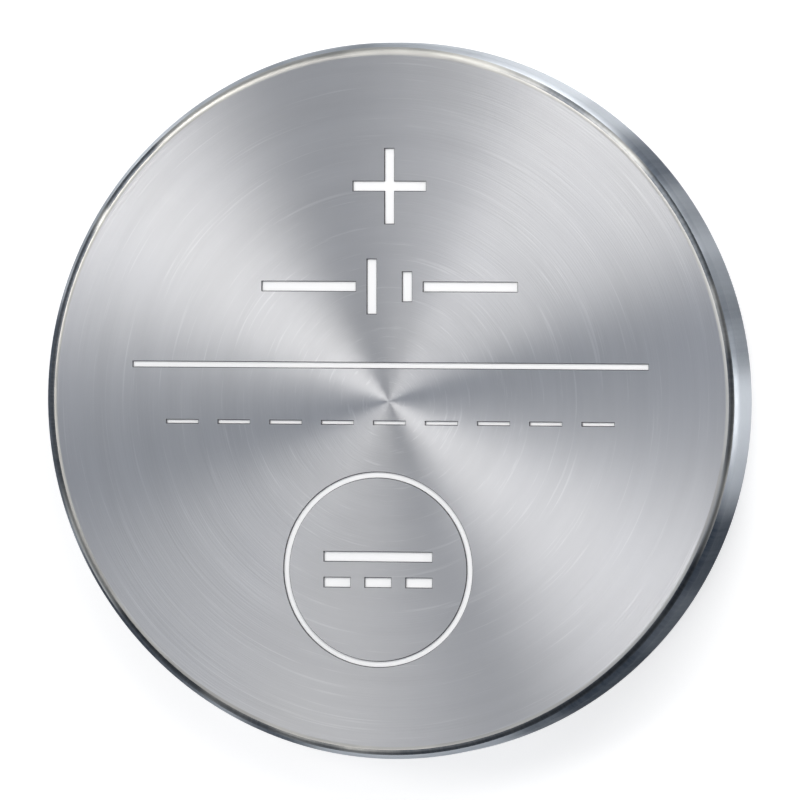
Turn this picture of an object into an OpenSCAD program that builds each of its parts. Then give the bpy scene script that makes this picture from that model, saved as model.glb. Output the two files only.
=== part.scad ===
// Lithium coin cell, lying on its negative face, in millimetres.
// The origin is the middle of the negative contact face, and +Z points out of the positive face.
// Each pressed or moulded piece is a half section, revolved about the cell's axis.

/* [Cell] */
// Diameter over the positive can
cell_d = 20; // [16:0.5:24.5]
// Height between the two contact faces
cell_h = 2.5; // [2.3:0.1:3.2]

/* [Positive can] */
// Sheet thickness of the can
can_t = 0.25; // [0.2:0.01:0.3]
// Inside bend radius between the positive face and the side wall
can_bend_r = 0.08; // [0.04:0.01:0.2]
// Flat length of the curled lip, inside its bend
lip_flat = 0.4; // [0.3:0.05:0.6]

/* [Negative cap] */
// Sheet thickness of the cap
cap_t = 0.22; // [0.18:0.01:0.28]
// Height by which the contact face stands proud of the can's curled lip
cap_proud = 0.15; // [0.1:0.01:0.25]
// Outside radius of the edge round the contact face
cap_edge_r = 0.4; // [0.3:0.01:0.45]
// Slope of the shoulder behind that edge, in degrees
shoulder_slope = 60; // [50:1:70]
// Outside radius at the foot of the shoulder
shoulder_foot_r = 0.2; // [0.1:0.01:0.25]
// Inside bend radius between the flange and the skirt
cap_bend_r = 0.1; // [0.06:0.01:0.2]

/* [Sealing gasket] */
// Thickness between the can and the cap
gasket_t = 0.25; // [0.2:0.01:0.3]
// Thickness of the foot under the cap's skirt
gasket_foot_t = 0.3; // [0.2:0.01:0.4]
// Thickness of the low wall inside the skirt
gasket_wall_t = 0.2; // [0.15:0.01:0.3]
// Height of that low wall above the foot
gasket_wall_h = 0.6; // [0.4:0.05:0.7]
// Width of the ring that shows inside the can's lip
gasket_show = 0.12; // [0.06:0.01:0.2]
// Clearance between that ring and the foot of the cap's shoulder
gasket_clear = 0.04; // [0.02:0.01:0.1]

/* [Electrode stack] */
// Thickness of the lithium disc
anode_t = 0.45; // [0.3:0.01:0.6]
// Thickness of the separator's sheet
separator_t = 0.12; // [0.08:0.01:0.2]
// Height of the separator's rim round the pellet
separator_rim_h = 0.5; // [0.2:0.05:0.6]
// Width by which the separator reaches past the lithium disc
separator_reach = 0.2; // [0.1:0.01:0.4]
// Clearance between the separator's rim and the edge of the cap's flat
separator_clear = 0.03; // [0.02:0.01:0.1]
// Clearance between the pellet and the separator's rim
pellet_clear = 0.03; // [0.02:0.01:0.1]
// Bevel round both faces of the pressed pellet
pellet_bevel = 0.1; // [0.05:0.01:0.2]

/* [Current collector] */
// Thickness of the steel mesh
mesh_t = 0.1; // [0.06:0.01:0.15]
// Distance between the middles of neighbouring openings
mesh_pitch = 1.35; // [1.2:0.05:2]
// Width of the bars between the openings
mesh_bar = 0.35; // [0.25:0.01:0.5]
// Least width of the plain border round the openings
mesh_border = 0.4; // [0.3:0.05:0.8]

/* [Hidden] */

// Greatest angle and least length of a facet in the preview
$fa = 2.5;
$fs = 0.02;

// Radii of the walls, from the outside inwards
can_r = cell_d / 2;
skirt_r = can_r - can_t - gasket_t;
skirt_in_r = skirt_r - cap_t;
gasket_in_r = skirt_in_r - gasket_wall_t;

// The bends at the crimp share one centre, so the can, the gasket and the cap nest
cap_corner_r = cap_bend_r + cap_t;
crimp_r = cap_corner_r + gasket_t + can_t;
lip_r = can_r - crimp_r - lip_flat;
gasket_lip_r = lip_r - gasket_show;

// Heights above the contact face
lip_top_z = cap_proud + can_t;
flange_z = lip_top_z + gasket_t;
can_floor_z = cell_h - can_t;
skirt_end_z = can_floor_z - gasket_foot_t;

// The cap's shoulder, worked back from its foot just inside the gasket's ring
shoulder_end_r = gasket_lip_r - gasket_clear;
bend_rise = 1 - cos(shoulder_slope);
bends_r = cap_edge_r + shoulder_foot_r;
slope_len = (flange_z - bends_r * bend_rise) / sin(shoulder_slope);
face_r = shoulder_end_r - bends_r * sin(shoulder_slope) - slope_len * cos(shoulder_slope);
// Depth by which the slope runs into the bend at each end, so that rounding leaves no step
slope_lap = 0.00002;

// The stack, from the cap's inner face up to the can's
separator_z = cap_t + anode_t;
pellet_z = separator_z + separator_t;
mesh_z = can_floor_z - mesh_t;
separator_r = face_r - separator_clear;
anode_r = separator_r - separator_reach;
pellet_r = separator_r - separator_t - pellet_clear;
mesh_r = pellet_r - pellet_bevel;
mesh_hole = mesh_pitch - mesh_bar;
mesh_rows = floor(mesh_r / mesh_pitch);

// What a round edge takes off a square corner, with the middle of the bend at the origin
module corner_waste(r) {
    difference() {
        square(r);
        circle(r);
    }
}

// Half section of a disc between two heights, with a round lower and upper edge
module disc_section(r, low_z, high_z, low_edge_r = 0, high_edge_r = 0) {
    difference() {
        translate([0, low_z]) square([r, high_z - low_z]);
        if (low_edge_r > 0) translate([r - low_edge_r, low_z + low_edge_r])
            mirror([0, 1]) corner_waste(low_edge_r);
        if (high_edge_r > 0) translate([r - high_edge_r, high_z - high_edge_r])
            corner_waste(high_edge_r);
    }
}

// The space inside the can's skin, for an inset of 0 up to the sheet's thickness
module can_space(inset) {
    disc_section(can_r - inset, cap_proud + inset, cell_h - inset,
                 crimp_r - inset, can_bend_r + can_t - inset);
}

// The space behind the cap's skin, for an inset of 0 up to the sheet's thickness
module cap_space(inset) {
    edge_r = cap_edge_r - inset;
    foot_r = shoulder_foot_r + inset;
    foot_z = flange_z - shoulder_foot_r;
    low_z = flange_z + inset;
    across = [sin(shoulder_slope), -cos(shoulder_slope)];
    difference() {
        union() {
            polygon([[0, inset],
                     [face_r, inset],
                     [face_r, cap_edge_r] + (edge_r - slope_lap) * across,
                     [shoulder_end_r, foot_z] - (foot_r - slope_lap) * across,
                     [shoulder_end_r, low_z],
                     [shoulder_end_r, skirt_end_z],
                     [0, skirt_end_z]]);
            translate([face_r, cap_edge_r]) circle(edge_r);
            disc_section(skirt_r - inset, low_z, skirt_end_z, cap_corner_r - inset);
        }
        translate([shoulder_end_r, foot_z]) circle(foot_r);
    }
}

// Deep-drawn steel cup with the positive face as its floor and its edge curled inwards
module positive_can() {
    color("silver") rotate_extrude() difference() {
        can_space(0);
        can_space(can_t);
        square([lip_r, lip_top_z]);
    }
}

// Pressed steel lid: contact face, shoulder, flange and skirt in one sheet
module negative_cap() {
    color("lightsteelblue") rotate_extrude() difference() {
        cap_space(0);
        cap_space(cap_t);
    }
}

// Moulded ring that lines the can, grips the skirt in a groove and shows inside the lip
module sealing_gasket() {
    color("ivory") rotate_extrude() {
        difference() {
            can_space(can_t);
            disc_section(skirt_r, flange_z, skirt_end_z, cap_corner_r);
            square([gasket_lip_r, flange_z]);
            translate([0, flange_z]) square([gasket_in_r, can_floor_z - flange_z]);
        }
        translate([gasket_in_r, skirt_end_z - gasket_wall_h]) square([gasket_wall_t, gasket_wall_h]);
    }
}

// Disc punched from lithium foil, pressed against the cap
module lithium_anode() {
    color("gainsboro") translate([0, 0, cap_t]) cylinder(r = anode_r, h = anode_t);
}

// Non-woven sheet, folded up round the pellet
module separator() {
    color("white") rotate_extrude() difference() {
        disc_section(separator_r, separator_z, pellet_z + separator_rim_h, pellet_bevel + separator_t);
        disc_section(separator_r - separator_t, pellet_z, pellet_z + separator_rim_h, pellet_bevel);
    }
}

// Pellet pressed from manganese dioxide powder
module cathode_pellet() {
    color("dimgray") rotate_extrude() polygon([
        [0, pellet_z],
        [pellet_r - pellet_bevel, pellet_z],
        [pellet_r, pellet_z + pellet_bevel],
        [pellet_r, mesh_z - pellet_bevel],
        [pellet_r - pellet_bevel, mesh_z],
        [0, mesh_z]]);
}

// Steel mesh that joins the pellet to the can's floor
module cathode_collector() {
    color("darkgray") translate([0, 0, mesh_z]) linear_extrude(mesh_t) difference() {
        circle(mesh_r);
        for (column = [-mesh_rows:mesh_rows], row = [-mesh_rows:mesh_rows]) {
            middle = [column, row] * mesh_pitch;
            if (norm(middle) + mesh_hole / sqrt(2) + mesh_border <= mesh_r)
                translate(middle) square(mesh_hole, center = true);
        }
    }
}

positive_can();
negative_cap();
sealing_gasket();
lithium_anode();
separator();
cathode_pellet();
cathode_collector();
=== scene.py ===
"""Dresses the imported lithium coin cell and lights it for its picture.

The metal shells and the gasket are remodelled finely from revolved sections, with engraved marks in the
positive face. The pieces inside keep their own meshes and get their finishes. All lengths are in metres.
"""
import logging
import math
from dataclasses import dataclass, field
from enum import Enum, IntEnum

import bmesh
import bpy
from mathutils import Matrix, Vector


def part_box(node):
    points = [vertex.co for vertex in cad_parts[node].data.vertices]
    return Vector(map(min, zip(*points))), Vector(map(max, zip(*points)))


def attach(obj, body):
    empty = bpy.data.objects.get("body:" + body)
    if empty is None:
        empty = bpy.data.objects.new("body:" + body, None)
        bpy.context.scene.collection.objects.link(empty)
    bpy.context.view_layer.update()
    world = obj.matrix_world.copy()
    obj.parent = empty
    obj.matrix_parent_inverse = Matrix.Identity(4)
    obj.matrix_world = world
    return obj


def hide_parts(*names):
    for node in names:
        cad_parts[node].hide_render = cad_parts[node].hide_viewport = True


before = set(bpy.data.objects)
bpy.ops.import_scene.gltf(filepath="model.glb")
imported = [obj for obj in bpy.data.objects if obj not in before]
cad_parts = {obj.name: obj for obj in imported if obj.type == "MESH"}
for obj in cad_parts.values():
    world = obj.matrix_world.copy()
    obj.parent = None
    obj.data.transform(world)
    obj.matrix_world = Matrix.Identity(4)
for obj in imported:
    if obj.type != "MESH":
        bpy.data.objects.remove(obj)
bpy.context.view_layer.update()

log = logging.getLogger("coin_cell")

Colour = tuple[float, float, float, float]

MM = 0.001
FULL_TURN = 2 * math.pi
AXIS = Vector((0, 0, 1))
# The way up in the picture
UPWARDS = Vector((0, 1, 0))
BODY = "root"
# Distance within which two vertices are merged into one
WELD = 0.1e-6
# Turn of the radial tangent, in full turns, that draws highlights out across the rings
ACROSS_RINGS = 0.25
WHITE: Colour = (1.0, 1.0, 1.0, 1.0)


class Stroke(Enum):
    """Widths of the engraved strokes."""

    BOLD = 0.30 * MM
    MEDIUM = 0.19 * MM
    THIN = 0.13 * MM


class Surface(Enum):
    """Places of the finishes among the can's materials."""

    BRUSHED = 0
    MARK = 1
    # Dark sides of the engraved recesses: painted shade
    CUT = 2
    EDGE = 3
    # A dark ring with light streaks below the pale ring: painted reflections of a dim room
    DULL = 4
    WALL = 5


class Facets(IntEnum):
    """Straight stretches in a bend, from the smallest bends to the largest."""

    SHEARED_EDGE = 2
    TIGHT = 4
    CAP_BEND = 6
    SHOULDER = 8
    SKIRT = 10
    BROAD = 12
    FACE_EDGE = 16
    CRIMP = 18


def grey(tone: float) -> Colour:
    """Returns an opaque grey."""
    return (tone, tone, tone, 1.0)


def tinted(colour: Colour, red: float, green: float, blue: float) -> Colour:
    """Returns a colour with its parts multiplied, and none of them above 1."""
    return tuple(min(part * gain, 1.0) for part, gain in zip(colour, (red, green, blue))) + (1.0,)


def scaled(colour: Colour, gain: float) -> Colour:
    """Returns a colour that is lighter or darker by one gain."""
    return tinted(colour, gain, gain, gain)


class NodeBench:
    """A node tree under construction, with short ways to add and join its nodes."""

    def __init__(self, tree: bpy.types.NodeTree) -> None:
        """Starts an empty tree.

        Args:
            tree: the tree, whose own nodes are cleared.
        """
        self.tree = tree
        tree.nodes.clear()

    def add(self, kind: str, settings: dict[str, object] | None = None, **inputs: object) -> bpy.types.Node:
        """Adds a node, sets its properties, and sets or links its inputs.

        Args:
            kind: the node's type name without ShaderNode, or its full name if it starts with Node.
            settings: the node's own properties by name.
            inputs: constants, or output sockets to link, by input name with underscores for spaces,
                or in0, in1 and so on by place.

        Returns:
            The new node.
        """
        node = self.tree.nodes.new(kind if kind.startswith("Node") else f"ShaderNode{kind}")
        for name, value in (settings or {}).items():
            setattr(node, name, value)
        for name, value in inputs.items():
            by_place = name.startswith("in") and name[2:].isdigit()
            socket = node.inputs[int(name[2:])] if by_place else node.inputs[name.replace("_", " ")]
            if isinstance(value, bpy.types.NodeSocket):
                self.tree.links.new(value, socket)
            else:
                socket.default_value = value
        return node

    def math(self, operation: str, first: object, second: object = 0.0) -> bpy.types.NodeSocket:
        """Adds a Math node and returns its output."""
        return self.add("Math", {"operation": operation}, in0=first, in1=second).outputs[0]

    def spread(self, value: object, low: object, high: object) -> bpy.types.NodeSocket:
        """Maps a value from 0..1 to low..high and returns the output."""
        return self.add("MapRange", Value=value, To_Min=low, To_Max=high).outputs[0]

    def vary(self, value: object, middle: float, share: float) -> bpy.types.NodeSocket:
        """Maps a value from 0..1 to a share of the middle below and above it, up to 1."""
        return self.spread(value, middle * (1 - share), min(middle * (1 + share), 1.0))

    def ramp(self, value: object, start: float, end: float, low: float = 0.0,
             high: float = 1.0) -> bpy.types.NodeSocket:
        """Maps a value from start..end smoothly to low..high and returns the output."""
        return self.add("MapRange", {"interpolation_type": "SMOOTHSTEP"}, Value=value, From_Min=start,
                        From_Max=end, To_Min=low, To_Max=high).outputs[0]

    def blend(self, mask: object, first: object, second: object) -> bpy.types.NodeSocket:
        """Mixes two colours by a mask and returns the output."""
        node = self.add("Mix", {"data_type": "RGBA"}, in0=mask, in6=first, in7=second)
        return node.outputs[2]

    def effect(self, tree: bpy.types.NodeTree, **inputs: float) -> bpy.types.NodeOutputs:
        """Places a shared effect with its own values and returns its outputs."""
        return self.add("Group", {"node_tree": tree}, **inputs).outputs

    def relief(self, strength: float, distance: float, height: object) -> bpy.types.NodeSocket:
        """Adds a Bump node and returns its normal."""
        return self.add("Bump", Strength=strength, Distance=distance, Height=height).outputs[0]

    def place(self) -> bpy.types.NodeSocket:
        """Returns the place on the object."""
        return self.add("TexCoord").outputs["Object"]

    def flat_place(self) -> tuple[bpy.types.NodeSocket, bpy.types.NodeSocket]:
        """Returns the place on the object with its height left out, and that height."""
        parts = self.add("SeparateXYZ", in0=self.place()).outputs
        return self.add("CombineXYZ", in0=parts[0], in1=parts[1]).outputs[0], parts[2]

    def course(self, flat: object, scale: object) -> list[bpy.types.NodeSocket]:
        """Returns X and Y of the unit direction from the axis to a flat place, times a scale."""
        unit = self.add("VectorMath", {"operation": "NORMALIZE"}, in0=flat).outputs["Vector"]
        return [self.math("MULTIPLY", part, scale) for part in self.add("SeparateXYZ", in0=unit).outputs[:2]]

    def mirrored(self, rays: bpy.types.NodeOutputs) -> bpy.types.NodeSocket:
        """Returns a mask of the rays that come from a reflection or through glass."""
        return self.math("MAXIMUM", rays["Is Glossy Ray"], rays["Is Transmission Ray"])


def shared_effect(name: str, inputs: dict[str, float], outputs: tuple[str, ...]) -> bpy.types.NodeTree:
    """Makes an empty shader node group with named number sockets.

    Args:
        name: the group's name.
        inputs: default values by socket name.
        outputs: names of the outputs.

    Returns:
        The new group.
    """
    tree = bpy.data.node_groups.new(name, "ShaderNodeTree")
    for socket_name, value in inputs.items():
        socket = tree.interface.new_socket(socket_name, in_out="INPUT", socket_type="NodeSocketFloat")
        socket.default_value = value
    for socket_name in outputs:
        tree.interface.new_socket(socket_name, in_out="OUTPUT", socket_type="NodeSocketFloat")
    return tree


@dataclass(frozen=True)
class RingScratches:
    """The shared effect of fine scratches that run in rings about the cell's axis.

    Its group has the inputs Pitch, the width of a scratch, and Arc, how fast a scratch changes along its
    ring, and the outputs Lines, 0 to 1, and Rare, a mask of the few bright ones.
    """

    pitch: float = 0.05 * MM
    arc: float = 2.0
    detail: float = 3.0
    roughness: float = 0.6
    rare_above: float = 0.58
    rare_full: float = 0.72

    def tree(self) -> bpy.types.NodeTree:
        """Builds the effect.

        Returns:
            Its node group.
        """
        tree = shared_effect("ring_scratches", {"Pitch": self.pitch, "Arc": self.arc}, ("Lines", "Rare"))
        bench = NodeBench(tree)
        sizes = bench.add("NodeGroupInput").outputs
        flat, height = bench.flat_place()
        radius = bench.add("VectorMath", {"operation": "LENGTH"}, in0=flat).outputs["Value"]
        run = bench.math("DIVIDE", bench.math("SUBTRACT", radius, height), sizes["Pitch"])
        x, y = bench.course(flat, sizes["Arc"])
        spot = bench.add("CombineXYZ", in0=run, in1=x, in2=y).outputs[0]
        lines = bench.add("TexNoise", Vector=spot, Scale=1.0, Detail=self.detail,
                          Roughness=self.roughness).outputs["Fac"]
        bench.add("NodeGroupOutput", Lines=lines, Rare=bench.ramp(lines, self.rare_above, self.rare_full))
        return tree


@dataclass(frozen=True)
class FineGrain:
    """The shared effect of an even grain in all directions.

    Its group has the inputs Size, the width of a grain, and Detail, and the output Grain, 0 to 1.
    """

    size: float = 0.1 * MM
    detail: float = 3.0

    def tree(self) -> bpy.types.NodeTree:
        """Builds the effect.

        Returns:
            Its node group.
        """
        tree = shared_effect("fine_grain", {"Size": self.size, "Detail": self.detail}, ("Grain",))
        bench = NodeBench(tree)
        sizes = bench.add("NodeGroupInput").outputs
        scale = bench.math("DIVIDE", 1.0, sizes["Size"])
        grain = bench.add("TexNoise", Vector=bench.place(), Scale=scale,
                          Detail=sizes["Detail"]).outputs["Fac"]
        bench.add("NodeGroupOutput", Grain=grain)
        return tree


@dataclass(frozen=True)
class StreaksAndPaintedReflections:
    """The shared effect of soft upright streaks, used as fine hairs, as tone and as painted reflections.

    Its group has the inputs Count, about the streaks in a radian of the wall, and Slice, the height at
    which they are cut from the noise, and the output Streaks, 0 to 1.
    """

    count: float = 3.0
    slice_height: float = 0.0
    detail: float = 2.0
    dark_below: float = 0.4
    light_above: float = 0.6

    def tree(self) -> bpy.types.NodeTree:
        """Builds the effect.

        Returns:
            Its node group.
        """
        tree = shared_effect("streaks_and_painted_reflections", {"Count": self.count, "Slice": self.slice_height}, ("Streaks",))
        bench = NodeBench(tree)
        sizes = bench.add("NodeGroupInput").outputs
        flat, _ = bench.flat_place()
        x, y = bench.course(flat, sizes["Count"])
        spot = bench.add("CombineXYZ", in0=x, in1=y, in2=sizes["Slice"]).outputs[0]
        noise = bench.add("TexNoise", Vector=spot, Scale=1.0, Detail=self.detail).outputs["Fac"]
        bench.add("NodeGroupOutput", Streaks=bench.ramp(noise, self.dark_below, self.light_above))
        return tree


@dataclass(frozen=True)
class Effects:
    """The node groups that several finishes share."""

    scratches: bpy.types.NodeTree
    grain: bpy.types.NodeTree
    # The streaks also paint reflections into the can's ring and wall
    streaks: bpy.types.NodeTree


def start_material(name: str) -> tuple[bpy.types.Material, NodeBench]:
    """Makes a material with an empty node tree.

    Args:
        name: the material's name.

    Returns:
        The material and a bench for its tree.
    """
    material = bpy.data.materials.new(name)
    material.use_nodes = True
    return material, NodeBench(material.node_tree)


def add_ringed_metal(bench: NodeBench, anisotropy: float, **inputs: bpy.types.NodeSocket) -> None:
    """Ends a material with a metal whose highlights are drawn out across rings about the axis.

    Args:
        bench: the material's bench.
        anisotropy: how far the highlights are drawn out, 0 to 1.
        inputs: the tone, roughness and normal, by the shader's input names.
    """
    tangent = bench.add("Tangent", {"direction_type": "RADIAL", "axis": "Z"}).outputs[0]
    shader = bench.add("BsdfPrincipled", Metallic=1.0, Anisotropic=anisotropy,
                       Anisotropic_Rotation=ACROSS_RINGS, Tangent=tangent, **inputs)
    bench.add("OutputMaterial", Surface=shader.outputs[0])


@dataclass(frozen=True)
class RingBrushedSteel:
    """Nickel-plated steel with fine brushing in rings, which draws out its highlights across them.

    Broad bands, soft cool clouds and a few bright scratches vary its tone. The sizes of the bands and of
    the bright scratches are given in pitches and arcs of the fine brushing.
    """

    name: str
    colour: Colour
    roughness: float
    anisotropy: float
    pitch: float = 0.045 * MM
    arc: float = 2.2
    relief: float = 0.10
    rough_share: float = 0.1
    shade: float = 0.12
    band_pitch: float = 14.0
    band_arc: float = 0.5
    cloud_size: float = 5 * MM
    cloud_detail: float = 1.0
    cloud_share: float = 0.6
    cloud_tint: tuple[float, float, float] = (0.97, 0.98, 1.04)
    marking: float = 0.20
    mark_pitch: float = 1.8
    mark_arc: float = 0.8
    mark_gain: float = 1.5

    def material(self, effects: Effects) -> bpy.types.Material:
        """Builds the finish.

        Args:
            effects: the shared node groups.

        Returns:
            The material.
        """
        material, bench = start_material(self.name)
        fine = bench.effect(effects.scratches, Pitch=self.pitch, Arc=self.arc)["Lines"]
        bands = bench.effect(effects.scratches, Pitch=self.pitch * self.band_pitch,
                             Arc=self.arc * self.band_arc)["Lines"]
        marks = bench.effect(effects.scratches, Pitch=self.pitch * self.mark_pitch,
                             Arc=self.arc * self.mark_arc)["Rare"]
        clouds = bench.effect(effects.grain, Size=self.cloud_size, Detail=self.cloud_detail)["Grain"]
        dark, light = scaled(self.colour, 1 - self.shade), scaled(self.colour, 1 + self.shade)
        tone = bench.blend(bands, dark, light)
        tone = bench.blend(bench.spread(clouds, 0.0, self.cloud_share), tone, tinted(light, *self.cloud_tint))
        tone = bench.blend(bench.spread(marks, 0.0, self.marking), tone, scaled(light, self.mark_gain))
        add_ringed_metal(bench, self.anisotropy, Base_Color=tone,
                         Roughness=bench.vary(fine, self.roughness, self.rough_share),
                         Normal=bench.relief(self.relief, self.pitch, fine))
        return material


@dataclass(frozen=True)
class DrawnSteel:
    """Nickel-plated steel that is left smooth from the press, with soft light and dark streaks.

    On the ring of painted reflections and on the wall the streaks are painted reflections in the colour,
    where real steel would reflect a room.
    The hairs are the same streaks, hair_density times as dense, and lighten it slightly.
    """

    name: str
    colour: Colour
    second_colour: Colour
    roughness: float
    anisotropy: float = 0.0
    count: float = 3.5
    slice_height: float = 0.0
    hair_density: float = 40.0
    hair_share: float = 0.05
    grain_size: float = 0.15 * MM
    grain_detail: float = 3.0
    rough_share: float = 0.15
    relief: float = 0.02

    def material(self, effects: Effects) -> bpy.types.Material:
        """Builds the finish.

        Args:
            effects: the shared node groups.

        Returns:
            The material.
        """
        material, bench = start_material(self.name)
        # On the ring and the wall these streaks are painted reflections in the tone
        streaks = bench.effect(effects.streaks, Count=self.count, Slice=self.slice_height)["Streaks"]
        hairs = bench.effect(effects.streaks, Count=self.count * self.hair_density)["Streaks"]
        grain = bench.effect(effects.grain, Size=self.grain_size, Detail=self.grain_detail)["Grain"]
        tone = bench.blend(streaks, self.colour, self.second_colour)
        tone = bench.blend(bench.spread(hairs, 0.0, self.hair_share), tone, self.second_colour)
        add_ringed_metal(bench, self.anisotropy, Base_Color=tone,
                         Roughness=bench.vary(grain, self.roughness, self.rough_share),
                         Normal=bench.relief(self.relief, self.grain_size, grain))
        return material


@dataclass(frozen=True)
class GrainedSolid:
    """A matt or satin solid whose tone, roughness and surface vary with an even grain."""

    name: str
    colour: Colour
    second_colour: Colour
    roughness: float
    grain_size: float
    relief: float
    metallic: float = 0.0
    grain_detail: float = 4.0
    rough_share: float = 0.15

    def material(self, effects: Effects) -> bpy.types.Material:
        """Builds the finish.

        Args:
            effects: the shared node groups.

        Returns:
            The material.
        """
        material, bench = start_material(self.name)
        grain = bench.effect(effects.grain, Size=self.grain_size, Detail=self.grain_detail)["Grain"]
        shader = bench.add("BsdfPrincipled", Base_Color=bench.blend(grain, self.colour, self.second_colour),
                           Metallic=self.metallic,
                           Roughness=bench.vary(grain, self.roughness, self.rough_share),
                           Normal=bench.relief(self.relief, self.grain_size, grain))
        bench.add("OutputMaterial", Surface=shader.outputs[0])
        return material


@dataclass(frozen=True)
class PaleFloor:
    """The studio floor: pale where it lights the cell, white where it is seen, darker in the shadow.

    Further from the cell the lamps reach it less, so it is lifted more there where it is seen.
    """

    tone: float = 0.5
    near_lift: float = 0.68
    far_lift: float = 0.9
    near: float = 20 * MM
    far: float = 120 * MM
    mirror_lift: float = 0.05

    def material(self) -> bpy.types.Material:
        """Builds the floor's finish.

        Returns:
            The material.
        """
        material, bench = start_material("pale_floor")
        rays = bench.add("LightPath").outputs
        away = bench.add("VectorMath", {"operation": "LENGTH"}, in0=bench.place()).outputs["Value"]
        seen = bench.ramp(away, self.near, self.far, self.near_lift, self.far_lift)
        lift = bench.math("ADD", bench.math("MULTIPLY", rays["Is Camera Ray"], seen),
                          bench.math("MULTIPLY", bench.mirrored(rays), self.mirror_lift))
        paper = bench.add("BsdfDiffuse", Color=grey(self.tone)).outputs[0]
        glow = bench.add("Emission", Strength=lift).outputs[0]
        both = bench.add("AddShader", in0=paper, in1=glow).outputs[0]
        bench.add("OutputMaterial", Surface=both)
        return material


@dataclass(frozen=True)
class Corner:
    """A corner of a half section: its place, the radius of its bend and the bend's facets."""

    radius: float
    height: float
    bend: float = 0.0
    facets: Facets = Facets.BROAD


@dataclass
class RevolvedSection:
    """A half section in the XZ plane that is revolved about the cell's axis.

    A section that is open ends at the first and last corners, and its revolved shell is closed there by
    the axis or by a face that is made later.
    """

    corners: list[Corner]
    closed: bool = False
    steps: int = 256

    def revolve(self) -> bmesh.types.BMesh:
        """Rounds the section's corners and spins it.

        Returns:
            A new bmesh with the revolved surface.
        """
        shape = bmesh.new()
        points = [shape.verts.new(self.place(corner)) for corner in self.corners]
        shape.faces.new(points)
        for index, corner in enumerate(self.corners):
            if corner.bend > 0:
                self.round_corner(shape, index)
        bmesh.ops.delete(shape, geom=list(shape.faces), context="FACES_ONLY")
        if not self.closed:
            first, last = (self.place(self.corners[i]) for i in (0, -1))
            gap = [e for e in shape.edges if self.joins(e, first, last)]
            bmesh.ops.delete(shape, geom=gap, context="EDGES_FACES")
        bmesh.ops.spin(shape, geom=list(shape.verts) + list(shape.edges), cent=(0, 0, 0), axis=AXIS,
                       angle=FULL_TURN, steps=self.steps, use_merge=True)
        bmesh.ops.remove_doubles(shape, verts=list(shape.verts), dist=WELD)
        return shape

    def round_corner(self, shape: bmesh.types.BMesh, index: int) -> None:
        """Rounds one corner of the flat section.

        Args:
            shape: the bmesh that holds the section's face.
            index: the corner's place in the list.
        """
        corner = self.corners[index]
        here = self.place(corner)
        before = self.place(self.corners[index - 1]) - here
        after = self.place(self.corners[(index + 1) % len(self.corners)]) - here
        turn = math.pi - before.angle(after)
        point = min(shape.verts, key=lambda v: (v.co - here).length)
        bmesh.ops.bevel(shape, geom=[point], offset=corner.bend * math.tan(turn / 2),
                        offset_type="OFFSET", segments=corner.facets, profile=0.5,
                        affect="VERTICES", material=-1)

    @staticmethod
    def place(corner: Corner) -> Vector:
        """Returns the corner's place in the XZ plane."""
        return Vector((corner.radius, 0, corner.height))

    @staticmethod
    def joins(edge: bmesh.types.BMEdge, first: Vector, last: Vector) -> bool:
        """Tells whether an edge runs between two places."""
        ends = [v.co for v in edge.verts]
        return any((ends[i] - first).length < WELD and (ends[1 - i] - last).length < WELD for i in (0, 1))


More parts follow.
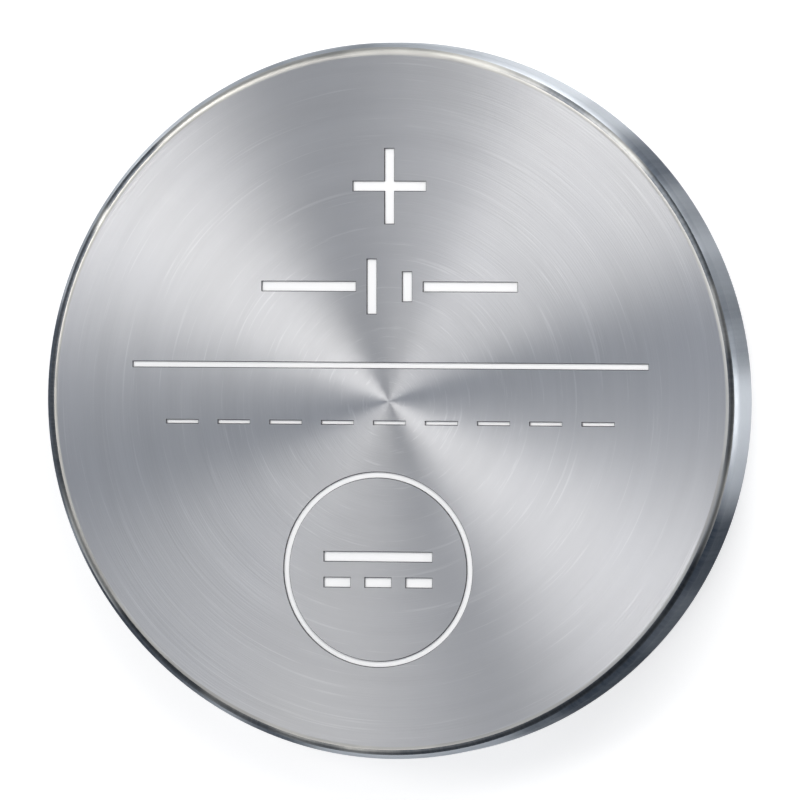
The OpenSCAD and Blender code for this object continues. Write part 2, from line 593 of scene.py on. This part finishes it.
@dataclass
class EngravedMarks:
    """Engraved strokes in a flat face: their outlines, and the recesses that are sunk from them."""

    shape: bmesh.types.BMesh
    height: float
    depth: float
    chamfer: float = 0.012 * MM
    draft: float = 0.008 * MM
    ring_steps: int = 160
    faces: list[bmesh.types.BMFace] = field(default_factory=list)

    def bar(self, x: float, y: float, length: float, width: float) -> None:
        """Adds a straight stroke.

        Args:
            x: its middle's place to the right.
            y: its middle's place upwards.
            length: its extent to the right.
            width: its extent upwards.
        """
        place = Matrix.Translation((x, y, self.height)) @ Matrix.Diagonal((length, width, 1, 1))
        made = bmesh.ops.create_grid(self.shape, x_segments=1, y_segments=1, size=0.5, matrix=place)
        self.faces += {f for v in made["verts"] for f in v.link_faces}

    def plus(self, x: float, y: float, span: float, stroke: float) -> None:
        """Adds two crossed strokes of equal length.

        Args:
            x: their middle's place to the right.
            y: their middle's place upwards.
            span: length of each stroke.
            stroke: width of each stroke.
        """
        arm = (span - stroke) / 2
        reach = (span + stroke) / 4
        self.bar(x, y, stroke, stroke)
        for side in (-1, 1):
            self.bar(x + side * reach, y, arm, stroke)
            self.bar(x, y + side * reach, stroke, arm)

    def ring(self, x: float, y: float, radius: float, stroke: float) -> None:
        """Adds a circular stroke.

        Args:
            x: its middle's place to the right.
            y: its middle's place upwards.
            radius: its outer radius.
            stroke: its width.
        """
        place = Matrix.Translation((x, y, self.height))
        edges: list[bmesh.types.BMEdge] = []
        for size in (radius, radius - stroke):
            made = bmesh.ops.create_circle(self.shape, segments=self.ring_steps, radius=size, matrix=place)
            edges += {e for v in made["verts"] for e in v.link_edges}
        self.faces += bmesh.ops.bridge_loops(self.shape, edges=edges)["faces"]

    def sink(self, rim: list[bmesh.types.BMEdge]) -> None:
        """Fills the face round the marks and sinks them into it.

        Args:
            rim: the edges of the hole in the shell that the face closes.
        """
        shape = self.shape
        bmesh.ops.remove_doubles(shape, verts=list({v for f in self.faces for v in f.verts}), dist=WELD)
        floors = [f for f in self.faces if f.is_valid]
        for face in floors:
            face.normal_update()
            if face.normal.z < 0:
                face.normal_flip()
        outlines = [e for f in floors for e in f.edges if e.is_boundary]
        bmesh.ops.triangle_fill(shape, use_beauty=True, edges=rim + outlines, normal=AXIS)
        # The chamfers and walls of each recess take a dark finish: painted shade in the recess
        for inward, down in ((self.chamfer, self.chamfer), (self.draft, self.depth - self.chamfer)):
            sides = bmesh.ops.inset_region(shape, faces=floors, thickness=inward, depth=-down,
                                           use_boundary=True, use_even_offset=True)
            for face in sides["faces"]:
                face.material_index = Surface.CUT.value
        for face in floors:
            face.material_index = Surface.MARK.value


@dataclass
class Piece:
    """A finished piece of the object, which replaces the CAD node that it stands for.

    Its edges are shaded smooth up to the sharp angle.
    """

    name: str
    node: str
    slot: str
    sharp_angle: float = math.radians(40)

    def place(self, shape: bmesh.types.BMesh, materials: list[bpy.types.Material]) -> bpy.types.Object:
        """Turns the finished bmesh into an object that rides on the cell's body.

        Args:
            shape: the bmesh, which is freed.
            materials: the piece's materials, in the order of the faces' indices.

        Returns:
            The new object.
        """
        bmesh.ops.recalc_face_normals(shape, faces=list(shape.faces))
        mesh = bpy.data.meshes.new(self.name)
        shape.to_mesh(mesh)
        shape.free()
        for material in materials:
            mesh.materials.append(material)
        mesh.shade_smooth()
        mesh.set_sharp_from_angle(angle=self.sharp_angle)
        piece = bpy.data.objects.new(self.name, mesh)
        bpy.context.scene.collection.objects.link(piece)
        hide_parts(self.node)
        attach(piece, BODY)
        log.info("%s replaces %s with %d faces", self.name, self.node, len(mesh.polygons))
        return piece


@dataclass
class CellSizes:
    """Sizes of the crimped closure, from the frame and from the sheet's own bends."""

    can_bend: float = 0.08 * MM
    cap_bend: float = 0.10 * MM
    lip_flat: float = 0.40 * MM
    gasket_show: float = 0.12 * MM
    gasket_clear: float = 0.04 * MM
    gasket_wall: float = 0.20 * MM
    gasket_wall_height: float = 0.60 * MM
    cap_edge: float = 0.40 * MM
    foot_bend: float = 0.20 * MM
    slope: float = math.radians(60)
    radius: float = field(init=False)
    top: float = field(init=False)
    bottom: float = field(init=False)
    base: float = field(init=False)
    can_wall: float = field(init=False)
    gasket: float = field(init=False)
    cap_wall: float = field(init=False)
    can_floor: float = field(init=False)
    skirt_end: float = field(init=False)
    skirt_radius: float = field(init=False)
    lip_top: float = field(init=False)
    flange: float = field(init=False)
    corner_bend: float = field(init=False)
    crimp_bend: float = field(init=False)
    lip_radius: float = field(init=False)
    ring_radius: float = field(init=False)
    shoulder_end: float = field(init=False)
    edge_bend: float = field(init=False)

    def __post_init__(self) -> None:
        """Works out the walls and heights from the boxes of the CAD nodes."""
        can_low, can_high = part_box("positive_can")
        gasket_low, gasket_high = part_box("sealing_gasket")
        cap_low, cap_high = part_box("negative_cap")
        anode_low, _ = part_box("lithium_anode")
        self.radius = can_high.x
        self.top = can_high.z
        self.bottom = can_low.z
        self.base = cap_low.z
        self.can_wall = can_high.x - gasket_high.x
        self.gasket = gasket_high.x - cap_high.x
        self.cap_wall = anode_low.z - cap_low.z
        self.can_floor = gasket_high.z
        self.skirt_end = cap_high.z
        self.skirt_radius = cap_high.x
        self.lip_top = gasket_low.z
        self.flange = gasket_low.z + self.gasket
        self.corner_bend = self.cap_bend + self.cap_wall
        self.crimp_bend = self.corner_bend + self.gasket + self.can_wall
        self.lip_radius = self.radius - self.crimp_bend - self.lip_flat
        self.ring_radius = self.lip_radius - self.gasket_show
        self.shoulder_end = self.ring_radius - self.gasket_clear
        self.edge_bend = self.can_bend + self.can_wall


@dataclass
class PositiveCan:
    """The cup with the positive face, its curled lip and the engraved marks.

    The pale ring and the ring of painted reflections end at shares of the face edge's bend. Of the signs,
    plate_gap and sign_rise are in strokes, sign_width is in radii of the ring, and short_plate and sign_dash
    are shares of the long plate's height and of the sign's width.
    """

    sizes: CellSizes
    finishes: dict[Surface, bpy.types.Material]
    land: float = 0.02 * MM
    lip_round: float = 0.05 * MM
    lip_burr: float = 0.02 * MM
    edge_share: float = 0.019
    painted_ring_share: float = 0.228
    mark_depth: float = 0.06 * MM
    plus_y: float = 6.0 * MM
    plus_span: float = 2.13 * MM
    cell_y: float = 3.2 * MM
    cell_width: float = 7.4 * MM
    cell_height: float = 1.56 * MM
    plate_gap: float = 2.4
    short_plate: float = 0.55
    rule_y: float = 1.0 * MM
    rule_length: float = 14.9 * MM
    dash_y: float = -0.6 * MM
    dash_count: int = 9
    dash_pitch: float = 1.5 * MM
    dash_length: float = 0.95 * MM
    ring_x: float = -0.33 * MM
    ring_y: float = -4.7 * MM
    ring_radius: float = 2.74 * MM
    sign_width: float = 1.15
    sign_dash: float = 0.25
    sign_rise: float = 1.2

    def section(self) -> RevolvedSection:
        """Lists the corners of the sheet, open where the positive face is made later.

        Returns:
            The half section.
        """
        s = self.sizes
        inner = s.radius - s.can_wall
        return RevolvedSection([
            Corner(self.face_radius(), s.top),
            Corner(s.radius, s.top, s.edge_bend, Facets.FACE_EDGE),
            Corner(s.radius, s.bottom, s.crimp_bend, Facets.CRIMP),
            Corner(s.lip_radius, s.bottom, self.lip_round, Facets.TIGHT),
            Corner(s.lip_radius, s.lip_top, self.lip_burr, Facets.SHEARED_EDGE),
            Corner(inner, s.lip_top, s.crimp_bend - s.can_wall),
            Corner(inner, s.can_floor, s.can_bend, Facets.TIGHT),
            Corner(0, s.can_floor),
        ])

    def face_radius(self) -> float:
        """Returns the radius of the flat face that holds the marks, just inside the rounded edge."""
        return self.sizes.radius - self.sizes.edge_bend - self.land

    def surface_at(self, height: float) -> Surface:
        """Tells a place on the sheet's pale ring from one on its ring of painted reflections or on its wall.

        Args:
            height: the place's height.

        Returns:
            The finish there.
        """
        depth = (self.sizes.top - height) / self.sizes.edge_bend
        if depth < self.edge_share:
            return Surface.EDGE
        return Surface.DULL if depth < self.painted_ring_share else Surface.WALL

    def engrave(self, shape: bmesh.types.BMesh) -> None:
        """Closes the can with the positive face and its marks.

        Args:
            shape: the revolved shell.
        """
        top = self.sizes.top
        rim = [e for e in shape.edges if e.is_boundary and all(v.co.z > top - WELD for v in e.verts)]
        marks = EngravedMarks(shape, top, self.mark_depth)
        marks.plus(0, self.plus_y, self.plus_span, Stroke.BOLD.value)
        self.add_cell_sign(marks)
        marks.bar(0, self.rule_y, self.rule_length, Stroke.MEDIUM.value)
        for place in range(self.dash_count):
            offset = (place - (self.dash_count - 1) / 2) * self.dash_pitch
            marks.bar(offset, self.dash_y, self.dash_length, Stroke.THIN.value)
        marks.ring(self.ring_x, self.ring_y, self.ring_radius, Stroke.MEDIUM.value)
        self.add_current_sign(marks)
        marks.sink(rim)

    def add_cell_sign(self, marks: EngravedMarks) -> None:
        """Adds the circuit sign of a cell: a long plate, a short plate and a lead to each.

        Args:
            marks: the marks of the face.
        """
        stroke = Stroke.BOLD.value
        gap = self.plate_gap * stroke
        lead = (self.cell_width - gap - 2 * stroke) / 2 - stroke
        for side, height in ((-1, self.cell_height), (1, self.cell_height * self.short_plate)):
            marks.bar(side * (gap + stroke) / 2, self.cell_y, stroke, height)
            marks.bar(side * (gap / 2 + 2 * stroke + lead / 2), self.cell_y, lead, stroke)

    def add_current_sign(self, marks: EngravedMarks) -> None:
        """Adds the sign of direct current inside the ring: a long bar over three dashes.

        Args:
            marks: the marks of the face.
        """
        width = self.sign_width * self.ring_radius
        dash = self.sign_dash * width
        stroke = Stroke.BOLD.value
        rise = self.sign_rise * stroke
        marks.bar(self.ring_x, self.ring_y + rise, width, stroke)
        for place in (-1, 0, 1):
            offset = place * (width - dash) / 2
            marks.bar(self.ring_x + offset, self.ring_y - rise, dash, stroke)

    def build(self) -> bpy.types.Object:
        """Builds the can.

        Returns:
            Its object.
        """
        shape = self.section().revolve()
        for face in shape.faces:
            face.material_index = self.surface_at(face.calc_center_median().z).value
        self.engrave(shape)
        materials = [self.finishes[surface] for surface in Surface]
        return Piece("can_shell", "positive_can", "can_steel").place(shape, materials)


@dataclass
class NegativeCap:
    """The pressed lid: contact face, shoulder, flange and skirt in one sheet."""

    sizes: CellSizes
    steel: bpy.types.Material

    def section(self) -> RevolvedSection:
        """Lists the corners of the sheet, from its outer skin round to its inner one.

        Returns:
            The half section.
        """
        s = self.sizes
        t = s.cap_wall
        half = math.tan(s.slope / 2)
        foot = s.shoulder_end - s.foot_bend * half
        edge = foot - (s.flange - s.base) / math.tan(s.slope)
        return RevolvedSection([
            Corner(0, s.base),
            Corner(edge, s.base, s.cap_edge),
            Corner(foot, s.flange, s.foot_bend, Facets.SHOULDER),
            Corner(s.skirt_radius, s.flange, s.corner_bend, Facets.SKIRT),
            Corner(s.skirt_radius, s.skirt_end),
            Corner(s.skirt_radius - t, s.skirt_end),
            Corner(s.skirt_radius - t, s.flange + t, s.cap_bend, Facets.CAP_BEND),
            Corner(foot - t * half, s.flange + t, s.foot_bend + t, Facets.SHOULDER),
            Corner(edge - t * half, s.base + t, s.cap_edge - t, Facets.SHOULDER),
            Corner(0, s.base + t),
        ])

    def build(self) -> bpy.types.Object:
        """Builds the cap and returns its object."""
        shape = self.section().revolve()
        return Piece("cap_shell", "negative_cap", "cap_steel").place(shape, [self.steel])


@dataclass
class SealingGasket:
    """The moulded ring between the can and the cap."""

    sizes: CellSizes
    plastic: bpy.types.Material

    def section(self) -> RevolvedSection:
        """Lists the corners of the ring, with the groove that holds the cap's skirt.

        Returns:
            The half section.
        """
        s = self.sizes
        outer = s.radius - s.can_wall
        groove = s.skirt_radius - s.cap_wall
        return RevolvedSection([
            Corner(s.ring_radius, s.lip_top),
            Corner(outer, s.lip_top, s.crimp_bend - s.can_wall),
            Corner(outer, s.can_floor, s.can_bend, Facets.TIGHT),
            Corner(groove - s.gasket_wall, s.can_floor),
            Corner(groove - s.gasket_wall, s.skirt_end - s.gasket_wall_height),
            Corner(groove, s.skirt_end - s.gasket_wall_height),
            Corner(groove, s.skirt_end),
            Corner(s.skirt_radius, s.skirt_end),
            Corner(s.skirt_radius, s.flange, s.corner_bend, Facets.SKIRT),
            Corner(s.ring_radius, s.flange),
        ], closed=True)

    def build(self) -> bpy.types.Object:
        """Builds the gasket and returns its object."""
        shape = self.section().revolve()
        return Piece("gasket_ring", "sealing_gasket", "gasket_plastic").place(shape, [self.plastic])


@dataclass
class ElectrodeStack:
    """The pieces inside the cell, which keep their own meshes and get their finishes."""

    finishes: dict[str, bpy.types.Material]

    def dress(self) -> None:
        """Gives each inner node its material."""
        for node, material in self.finishes.items():
            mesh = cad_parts[node].data
            mesh.materials.clear()
            mesh.materials.append(material)
            log.info("%s gets %s", node, material.name)


def direction(bearing: float, lean: float) -> Vector:
    """Works out a direction away from the cell.

    Args:
        bearing: its angle about the axis, in degrees from +X towards +Y.
        lean: its angle from +Z, in degrees.

    Returns:
        The unit vector.
    """
    turn, tip = math.radians(bearing), math.radians(lean)
    return Vector((math.sin(tip) * math.cos(turn), math.sin(tip) * math.sin(turn), math.cos(tip)))


def facing(place: Vector, target: Vector) -> Matrix:
    """Works out the pose of a light or camera that looks at a target with +Y upwards.

    Args:
        place: where it stands.
        target: what it looks at.

    Returns:
        Its world matrix.
    """
    back = (place - target).normalized()
    right = UPWARDS.cross(back).normalized()
    up = back.cross(right)
    pose = Matrix((right, up, back)).transposed().to_4x4()
    pose.translation = place
    return pose


@dataclass(frozen=True)
class Lamp:
    """A soft round light that faces the cell.

    The bearing and lean are in degrees, as in direction, the size is its diameter and the power is in
    watts.
    """

    name: str
    bearing: float
    lean: float
    distance: float
    size: float
    power: float
    colour: tuple[float, float, float] = (1.0, 0.975, 0.94)

    def build(self, target: Vector) -> bpy.types.Object:
        """Places the light.

        Args:
            target: the point that the light faces.

        Returns:
            The light's object.
        """
        light = bpy.data.lights.new(self.name, "AREA")
        light.shape = "DISK"
        light.size = self.size
        light.energy = self.power
        light.color = self.colour
        lamp = bpy.data.objects.new(self.name, light)
        away = direction(self.bearing, self.lean)
        lamp.matrix_world = facing(target + away * self.distance, target)
        bpy.context.scene.collection.objects.link(lamp)
        return lamp


@dataclass
class Studio:
    """The floor, the lamps, the room's own light and the camera.

    The roof and the backdrop are what reflections show of the room, by the height of their direction.
    The camera's tilt and bearing are in degrees, as in direction, and its lens is in millimetres.
    """

    sizes: CellSizes
    lamps: tuple[Lamp, ...] = (
        Lamp("key_lamp", bearing=58, lean=38, distance=0.05, size=0.034, power=0.0118),
        Lamp("side_lamp", bearing=159, lean=42, distance=0.60, size=0.24, power=1.12),
        Lamp("top_lamp", bearing=95, lean=40, distance=0.30, size=0.14, power=0.11),
        Lamp("low_lamp", bearing=248, lean=44, distance=0.058, size=0.027, power=0.0042),
        Lamp("wall_lamp", bearing=0, lean=80, distance=0.20, size=0.09, power=0.11),
        Lamp("back_lamp", bearing=75, lean=68, distance=0.20, size=0.10, power=0.07),
    )
    floor_span: float = 1.2
    floor_drop: float = 0.01 * MM
    room_light: float = 0.3
    roof_from: float = 0.86
    roof_light: float = 0.7
    dim_light: float = 0.04
    backdrop_to: float = 0.6
    roof_tint: Colour = (0.75, 0.84, 1.0, 1.0)
    backdrop_tint: Colour = (0.94, 0.97, 1.0, 1.0)
    tilt: float = 15.0
    bearing: float = 6.0
    lens: float = 600.0
    nearest: float = 1 * MM
    farthest: float = 10.0
    frame_width: float = 22.3 * MM
    aim_x: float = 0.31 * MM
    aim_y: float = 0.04 * MM

    def build(self) -> None:
        """Builds everything round the cell."""
        self.build_floor()
        self.build_room()
        middle = Vector((0, 0, self.sizes.top))
        for lamp in self.lamps:
            lamp.build(middle)
        self.build_camera(middle)

    def build_floor(self) -> None:
        """Builds the floor."""
        shape = bmesh.new()
        bmesh.ops.create_grid(shape, x_segments=1, y_segments=1, size=self.floor_span / 2,
                              matrix=Matrix.Translation((0, 0, self.sizes.base - self.floor_drop)))
        mesh = bpy.data.meshes.new("floor")
        shape.to_mesh(mesh)
        shape.free()
        mesh.materials.append(PaleFloor().material())
        floor = bpy.data.objects.new("floor", mesh)
        bpy.context.scene.collection.objects.link(floor)

    def build_room(self) -> None:
        """Builds the world: an even soft light that looks white where it is seen.

        Reflections show it nearly white at the horizon and pale blue overhead, and dim between the
        backdrop and the roof.
        """
        world = bpy.data.worlds.new("room")
        world.use_nodes = True
        bench = NodeBench(world.node_tree)
        rays = bench.add("LightPath").outputs
        height = bench.add("SeparateXYZ", in0=bench.add("TexCoord").outputs["Generated"]).outputs[2]
        roof = bench.ramp(height, self.roof_from, 1.0, self.dim_light, self.roof_light)
        backdrop = bench.ramp(height, 0.0, self.backdrop_to, 1.0, 0.0)
        strength = bench.spread(bench.mirrored(rays), self.room_light, bench.math("MAXIMUM", roof, backdrop))
        strength = bench.spread(rays["Is Camera Ray"], strength, 1.0)
        tint = bench.blend(backdrop, self.roof_tint, self.backdrop_tint)
        tint = bench.blend(rays["Is Camera Ray"], tint, WHITE)
        sky = bench.add("Background", Color=tint, Strength=strength)
        bench.add("OutputWorld", Surface=sky.outputs[0])
        bpy.context.scene.world = world

    def build_camera(self, target: Vector) -> None:
        """Places the camera at the photograph's angle.

        Args:
            target: the middle of the positive face.
        """
        camera_data = bpy.data.cameras.new("camera")
        camera_data.lens = self.lens
        camera_data.clip_start = self.nearest
        camera_data.clip_end = self.farthest
        distance = self.lens / camera_data.sensor_width * self.frame_width
        camera = bpy.data.objects.new("camera", camera_data)
        aim = target + Vector((self.aim_x, self.aim_y, 0))
        camera.matrix_world = facing(aim + direction(self.bearing, self.tilt) * distance, aim)
        bpy.context.scene.collection.objects.link(camera)
        bpy.context.scene.camera = camera


def can_finishes(effects: Effects) -> dict[Surface, bpy.types.Material]:
    """Builds the finishes of the positive can.

    The slice heights are picked so that the light and dark stretches lie about as in the photograph.

    Args:
        effects: the shared node groups.

    Returns:
        The materials by the surface that they cover.
    """
    finishes = {
        Surface.BRUSHED: RingBrushedSteel("brushed_steel", grey(0.56), roughness=0.40, anisotropy=0.9),
        Surface.MARK: GrainedSolid("etched_mark", grey(0.90), grey(0.95), roughness=0.9,
                                   grain_size=0.02 * MM, relief=0.1),
        # Dark finish on the sides of the recesses: painted shade, not the steel's own colour
        Surface.CUT: GrainedSolid("cut_steel", (0.10, 0.10, 0.11, 1.0), (0.16, 0.16, 0.17, 1.0),
                                  roughness=0.6, grain_size=0.02 * MM, relief=0.05, metallic=1.0),
        Surface.EDGE: DrawnSteel("edge_steel", (0.48, 0.47, 0.45, 1.0), (0.58, 0.57, 0.54, 1.0),
                                 roughness=0.40),
        # Dark ring with light streaks: painted reflections of a dim room, where a polished bend would mirror
        # one
        Surface.DULL: DrawnSteel("dull_steel", (0.085, 0.095, 0.11, 1.0), (0.52, 0.52, 0.50, 1.0),
                                 roughness=0.36, count=2.5, slice_height=572.35),
        # Light and dark bands on the wall: painted reflections of a room, not the steel's own colour
        Surface.WALL: DrawnSteel("wall_steel", (0.08, 0.10, 0.13, 1.0), (0.60, 0.64, 0.69, 1.0),
                                 roughness=0.44, anisotropy=0.9, count=2.0, slice_height=1844.45),
    }
    return {surface: finish.material(effects) for surface, finish in finishes.items()}


def stack_finishes(effects: Effects) -> dict[str, bpy.types.Material]:
    """Builds the finishes of the pieces inside the cell.

    Args:
        effects: the shared node groups.

    Returns:
        The materials by node.
    """
    finishes = {
        "lithium_anode": GrainedSolid("lithium_foil", (0.55, 0.55, 0.57, 1.0), (0.68, 0.68, 0.70, 1.0),
                                      roughness=0.45, grain_size=0.6 * MM, relief=0.08, metallic=1.0),
        "separator": GrainedSolid("separator_sheet", (0.80, 0.80, 0.78, 1.0), (0.90, 0.90, 0.88, 1.0),
                                  roughness=0.9, grain_size=0.05 * MM, relief=0.3),
        "cathode_pellet": GrainedSolid("pellet_powder", (0.025, 0.025, 0.028, 1.0),
                                       (0.06, 0.06, 0.062, 1.0), roughness=0.85, grain_size=0.08 * MM,
                                       relief=0.3),
        "cathode_collector": GrainedSolid("mesh_steel", grey(0.40), grey(0.52), roughness=0.4,
                                          grain_size=0.2 * MM, relief=0.1, metallic=1.0),
    }
    return {node: finish.material(effects) for node, finish in finishes.items()}


def main() -> None:
    """Builds the studio, the shells and the stack, and reports each piece."""
    logging.basicConfig(level=logging.INFO, format="%(name)s: %(message)s")
    bpy.context.scene.view_settings.view_transform = "Standard"
    sizes = CellSizes()
    effects = Effects(RingScratches().tree(), FineGrain().tree(), StreaksAndPaintedReflections().tree())
    Studio(sizes).build()
    cap_steel = GrainedSolid("cap_steel", grey(0.50), grey(0.58), roughness=0.34, grain_size=0.12 * MM,
                             relief=0.12, metallic=1.0)
    plastic = GrainedSolid("gasket_plastic", (0.66, 0.65, 0.61, 1.0), (0.74, 0.73, 0.69, 1.0),
                           roughness=0.45, grain_size=0.08 * MM, relief=0.05)
    PositiveCan(sizes, can_finishes(effects)).build()
    NegativeCap(sizes, cap_steel.material(effects)).build()
    SealingGasket(sizes, plastic.material(effects)).build()
    ElectrodeStack(stack_finishes(effects)).dress()


if __name__ == "__main__":
    main()
